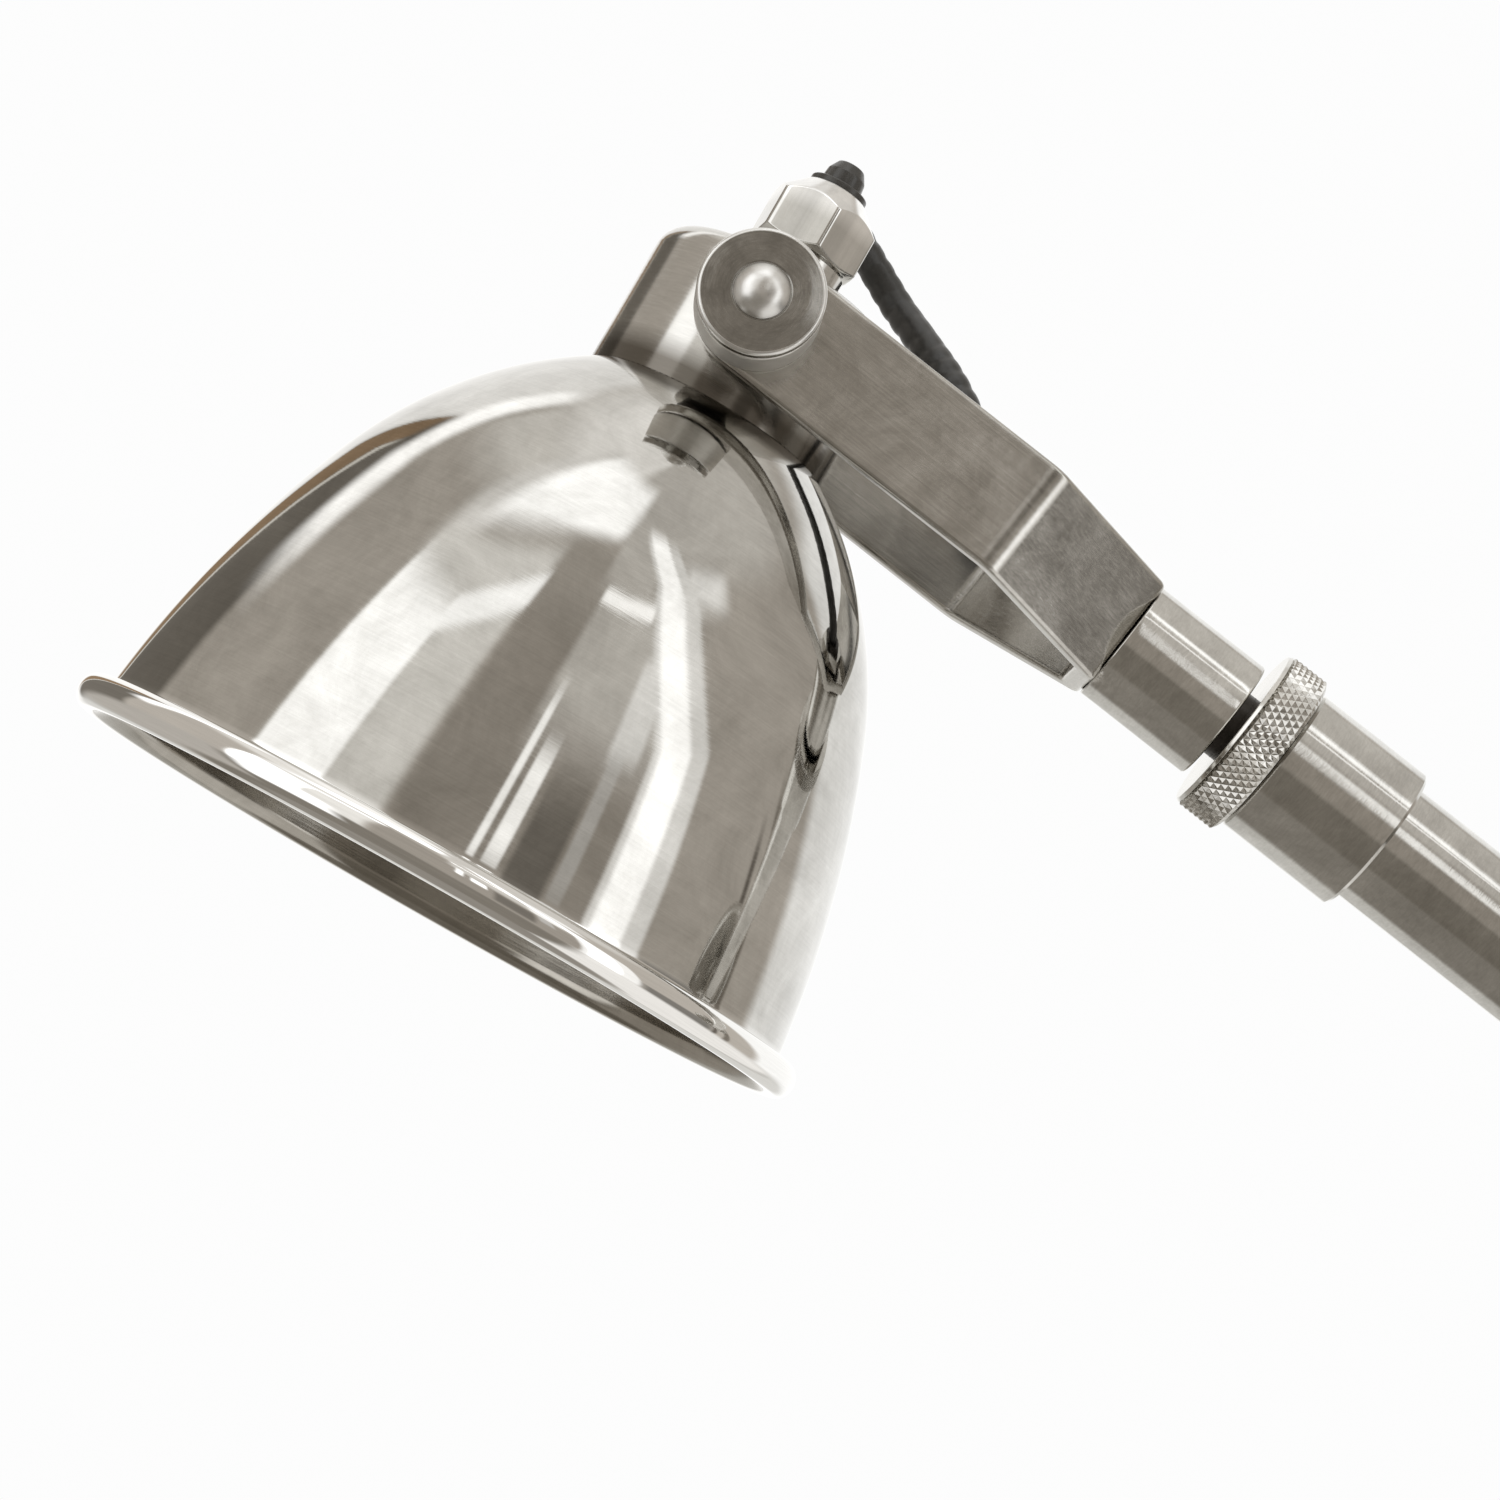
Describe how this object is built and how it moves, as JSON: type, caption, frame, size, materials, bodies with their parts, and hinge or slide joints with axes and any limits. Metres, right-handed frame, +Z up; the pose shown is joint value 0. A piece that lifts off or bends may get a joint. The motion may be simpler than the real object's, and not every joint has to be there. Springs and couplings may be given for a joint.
{
  "type": "wall lamp",
  "caption": "Wall lamp with a spun metal bell shade that tilts in a fork, on a tube arm that tilts and swings from a round wall plate with a toggle switch.",
  "frame": {"origin": "centre of the mounting bar's back face, on the wall", "axes": "+X into the wall, +Y away from the side the picture was taken from, +Z up; the arm reaches out to -X"},
  "size_m": [0.5102, 0.15, 0.3279],
  "materials": {
    "satin_nickel": "satin nickel plate, lightly brushed",
    "dark_steel": "dark turned steel",
    "ivory_plastic": "glossy",
    "white_plastic": "matte",
    "black_plastic": "matte",
    "black_rubber": "satin sheath",
    "cap_brass": "plain",
    "bulb_glass": "opal"
  },
  "bodies": {
    "wall": {"wall_plate": "satin_nickel", "mounting_bar": "dark_steel", "plate_screws": "satin_nickel", "terminal_block": "white_plastic", "wall_boss": "satin_nickel", "boss_nut": "dark_steel", "swing_pin": "dark_steel", "switch_body": "black_plastic", "switch_nut": "satin_nickel"},
    "lever": {"switch_lever": "satin_nickel"},
    "link": {"swing_knuckle": "satin_nickel"},
    "arm": {"arm_foot": "satin_nickel", "arm_tube": "satin_nickel", "head_collar": "satin_nickel", "spindle": "dark_steel", "hub_washer": "dark_steel", "hub_nut": "satin_nickel", "tilt_bolt": "dark_steel"},
    "tilt_clamp": {"tilt_knob": "satin_nickel"},
    "ring": {"lock_ring": "satin_nickel"},
    "yoke": {"fork": "satin_nickel", "hub": "satin_nickel", "flex": "black_rubber"},
    "head": {"shade_crown": "satin_nickel", "shade_shoulder": "satin_nickel", "shade_side": "satin_nickel", "shade_rim": "satin_nickel", "neck_cup": "satin_nickel", "shade_ring": "satin_nickel", "lampholder": "ivory_plastic", "bulb_cap": "cap_brass", "bulb_glass": "bulb_glass", "trunnion_near": "dark_steel", "trunnion_far": "dark_steel", "gland_stub": "satin_nickel", "gland_nut": "satin_nickel", "cable_elbow": "black_plastic"},
    "clamp_near": {"knob_near": "satin_nickel"},
    "clamp_far": {"knob_far": "satin_nickel"}
  },
  "joints": [
    {"name": "switch_toggle", "type": "hinge", "parent": "wall", "child": "lever", "pos_m": [-0.0308, 0, -0.033], "axis": [0, 1, 0], "range_deg": [0, 26]},
    {"name": "arm_swing", "type": "hinge", "parent": "wall", "child": "link", "pos_m": [-0.054, 0, 0], "axis": [0, 0, 1], "range_deg": [-75, 75]},
    {"name": "arm_tilt", "type": "hinge", "parent": "link", "child": "arm", "pos_m": [-0.088, 0, 0], "axis": [0, 1, 0], "range_deg": [-70, 35]},
    {"name": "tilt_clamp_turn", "type": "hinge", "parent": "arm", "child": "tilt_clamp", "pos_m": [-0.088, 0, 0], "axis": [0, 1, 0], "range_deg": [-180, 180]},
    {"name": "ring_turn", "type": "hinge", "parent": "arm", "child": "ring", "pos_m": [-0.38663, 0, 0.23499], "axis": [0.7859, 0, -0.6184], "range_deg": [-180, 180]},
    {"name": "fork_swivel", "type": "hinge", "parent": "arm", "child": "yoke", "pos_m": [-0.38663, 0, 0.23499], "axis": [0.7859, 0, -0.6184], "range_deg": [-150, 150]},
    {"name": "shade_tilt", "type": "hinge", "parent": "yoke", "child": "head", "pos_m": [-0.38663, 0, 0.23499], "axis": [0, 1, 0], "range_deg": [-18, 70], "deforming": ["flex"]},
    {"name": "clamp_near_turn", "type": "hinge", "parent": "head", "child": "clamp_near", "pos_m": [-0.38663, 0, 0.23499], "axis": [0, 1, 0], "range_deg": [-180, 180]},
    {"name": "clamp_far_turn", "type": "hinge", "parent": "head", "child": "clamp_far", "pos_m": [-0.38663, 0, 0.23499], "axis": [0, 1, 0], "range_deg": [-180, 180]}
  ]
}
